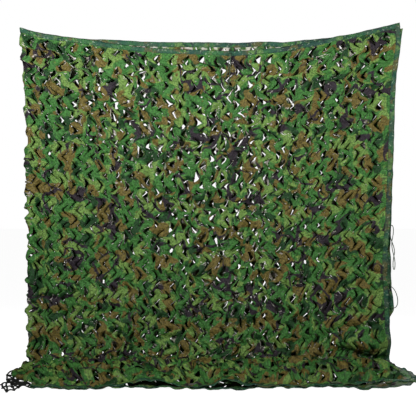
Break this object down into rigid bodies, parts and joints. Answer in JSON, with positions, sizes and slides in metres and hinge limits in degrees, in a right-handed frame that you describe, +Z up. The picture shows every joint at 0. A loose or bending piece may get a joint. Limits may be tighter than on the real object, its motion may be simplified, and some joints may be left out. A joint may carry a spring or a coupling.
{
  "type": "camouflage net",
  "caption": "Slit-cloth camouflage net folded in half and hung by its top corners, its foot lying forward on the floor.",
  "frame": {"origin": "middle of the top edge where the net is held, on the back layer's edge; the floor is 1.78 m below", "axes": "+Z up, +X along the top edge to the right as seen from the front, -Y towards the viewer, the way the foot lies on the floor"},
  "size_m": [2.1136, 0.6788, 1.8837],
  "materials": {
    "printed_cloth": "matte printed woven polyester",
    "bound_tape": "folded printed tape with stitching",
    "tie_cord": "braided cord",
    "black_twine": "matte knotted twine"
  },
  "bodies": {
    "root": {"net_cloth": "printed_cloth", "binding_top": "bound_tape", "binding_foot": "bound_tape", "binding_side_front": "bound_tape", "binding_side_back": "bound_tape", "tie_top": "tie_cord", "tie_side": "tie_cord", "tie_corner": "tie_cord", "mesh_corner": "black_twine"}
  },
  "joints": []
}
